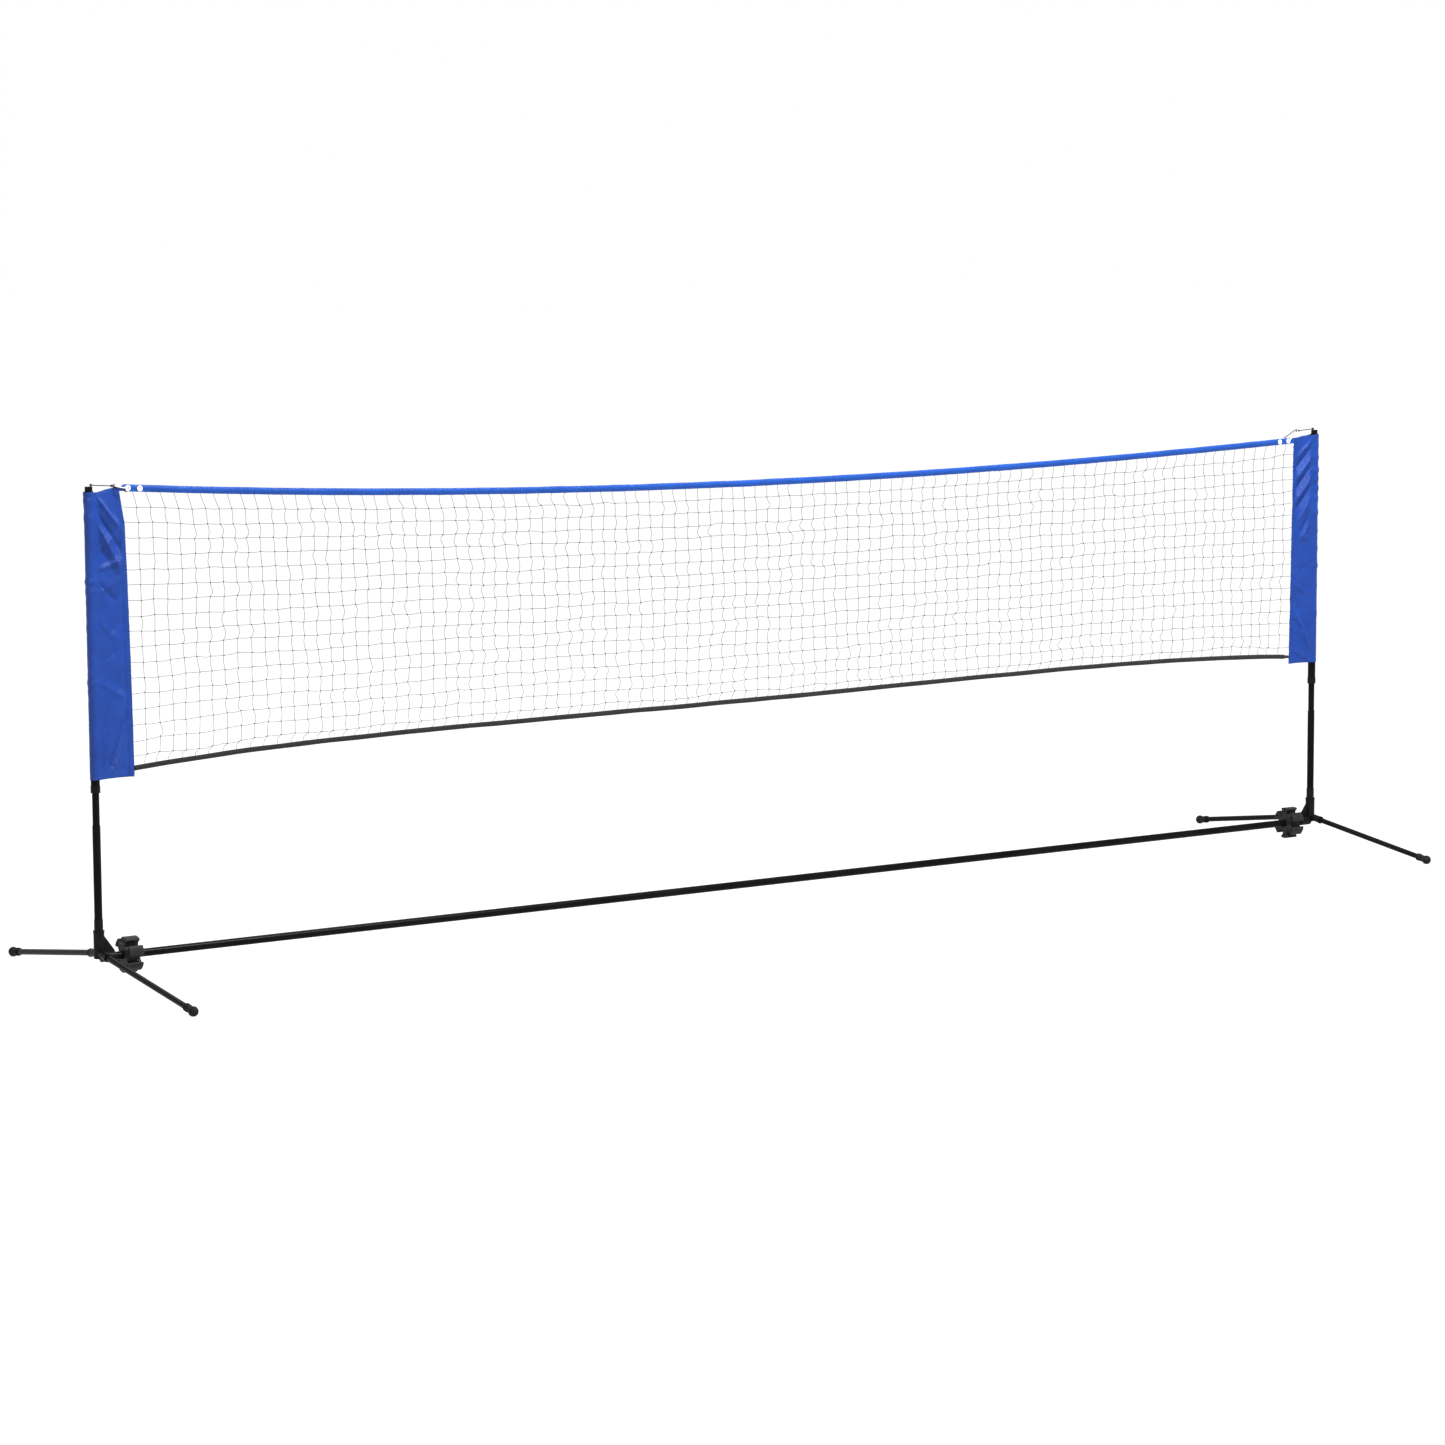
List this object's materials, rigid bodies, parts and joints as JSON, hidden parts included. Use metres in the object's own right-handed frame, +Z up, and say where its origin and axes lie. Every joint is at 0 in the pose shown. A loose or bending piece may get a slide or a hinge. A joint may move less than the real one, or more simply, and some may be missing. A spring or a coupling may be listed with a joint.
{
  "type": "portable badminton net",
  "caption": "Free-standing badminton net: a dark mesh with blue end sleeves between two telescopic posts on a folding ground bar with storage clips.",
  "frame": {"origin": "on the ground, halfway between the two posts", "axes": "+X along the net towards the right post, +Y from the front feet to the rear feet, +Z up"},
  "size_m": [5.036, 1.292, 1.5572],
  "materials": {
    "tube": "satin black powder coat",
    "moulding": "satin moulded black",
    "clip_moulding": "satin moulded dark grey",
    "foot_rubber": "matte black rubber",
    "sleeve_fabric": "royal blue woven nylon with a soft sheen",
    "tape_fabric": "royal blue woven nylon with a soft sheen",
    "hem_fabric": "black woven tape",
    "net_twine": "dark twisted nylon twine, knotted",
    "rope": "white braided cord",
    "tie_cord": "black braided cord",
    "elastic": "black covered elastic",
    "eyelet": "white moulded"
  },
  "bodies": {
    "base": {"left_hub": "moulding", "left_ferrule": "moulding", "left_lower_tube": "tube", "left_cord_anchor": "moulding", "right_hub": "moulding", "right_ferrule": "moulding", "right_lower_tube": "tube", "right_cord_anchor": "moulding", "crossbar_1": "tube", "crossbar_2": "tube", "crossbar_3": "tube", "crossbar_4": "tube", "crossbar_5": "tube", "spigot_1": "moulding", "spigot_2": "moulding", "spigot_3": "moulding", "spigot_4": "moulding", "shock_cord": "elastic"},
    "left_front_leg_unit": {"left_front_leg": "tube", "left_front_foot": "foot_rubber"},
    "left_rear_leg_unit": {"left_rear_leg": "tube", "left_rear_foot": "foot_rubber"},
    "left_clip_unit": {"left_storage_clip": "clip_moulding"},
    "right_front_leg_unit": {"right_front_leg": "tube", "right_front_foot": "foot_rubber"},
    "right_rear_leg_unit": {"right_rear_leg": "tube", "right_rear_foot": "foot_rubber"},
    "right_clip_unit": {"right_storage_clip": "clip_moulding"},
    "left_mast": {"left_upper_tube": "tube", "left_inner_tube": "tube", "left_twist_lock": "moulding", "left_guide_bush": "moulding", "left_collar": "moulding", "left_post_cap": "moulding", "left_sleeve": "sleeve_fabric", "left_tie_cord": "tie_cord", "left_rope_loop": "rope", "left_eyelets": "eyelet", "right_eyelets": "eyelet", "head_tape": "tape_fabric", "head_rope": "rope", "foot_tape": "hem_fabric", "net_mesh": "net_twine"},
    "right_mast": {"right_upper_tube": "tube", "right_inner_tube": "tube", "right_twist_lock": "moulding", "right_guide_bush": "moulding", "right_collar": "moulding", "right_post_cap": "moulding", "right_sleeve": "sleeve_fabric", "right_tie_cord": "tie_cord", "right_rope_loop": "rope"}
  },
  "joints": [
    {"name": "left_height_slide", "type": "slide", "parent": "base", "child": "left_mast", "axis": [0, 0, 1], "range_m": [-0.3, 0]},
    {"name": "right_height_slide", "type": "slide", "parent": "base", "child": "right_mast", "axis": [0, 0, 1], "range_m": [-0.3, 0]},
    {"name": "left_front_leg_slide", "type": "slide", "parent": "base", "child": "left_front_leg_unit", "axis": [0, -0.9906, -0.1368], "range_m": [0, 0.036]},
    {"name": "left_rear_leg_slide", "type": "slide", "parent": "base", "child": "left_rear_leg_unit", "axis": [0, 0.9906, -0.1368], "range_m": [0, 0.036]},
    {"name": "right_front_leg_slide", "type": "slide", "parent": "base", "child": "right_front_leg_unit", "axis": [0, -0.9906, -0.1368], "range_m": [0, 0.036]},
    {"name": "right_rear_leg_slide", "type": "slide", "parent": "base", "child": "right_rear_leg_unit", "axis": [0, 0.9906, -0.1368], "range_m": [0, 0.036]},
    {"name": "left_clip_spin", "type": "hinge", "parent": "base", "child": "left_clip_unit", "pos_m": [-2.3965, 0, 0.087], "axis": [1, 0, 0], "continuous": true},
    {"name": "right_clip_spin", "type": "hinge", "parent": "base", "child": "right_clip_unit", "pos_m": [2.3965, 0, 0.087], "axis": [1, 0, 0], "continuous": true}
  ],
  "couplings": [
    {"joint": "right_height_slide", "follows": "left_height_slide", "ratio": 1}
  ]
}
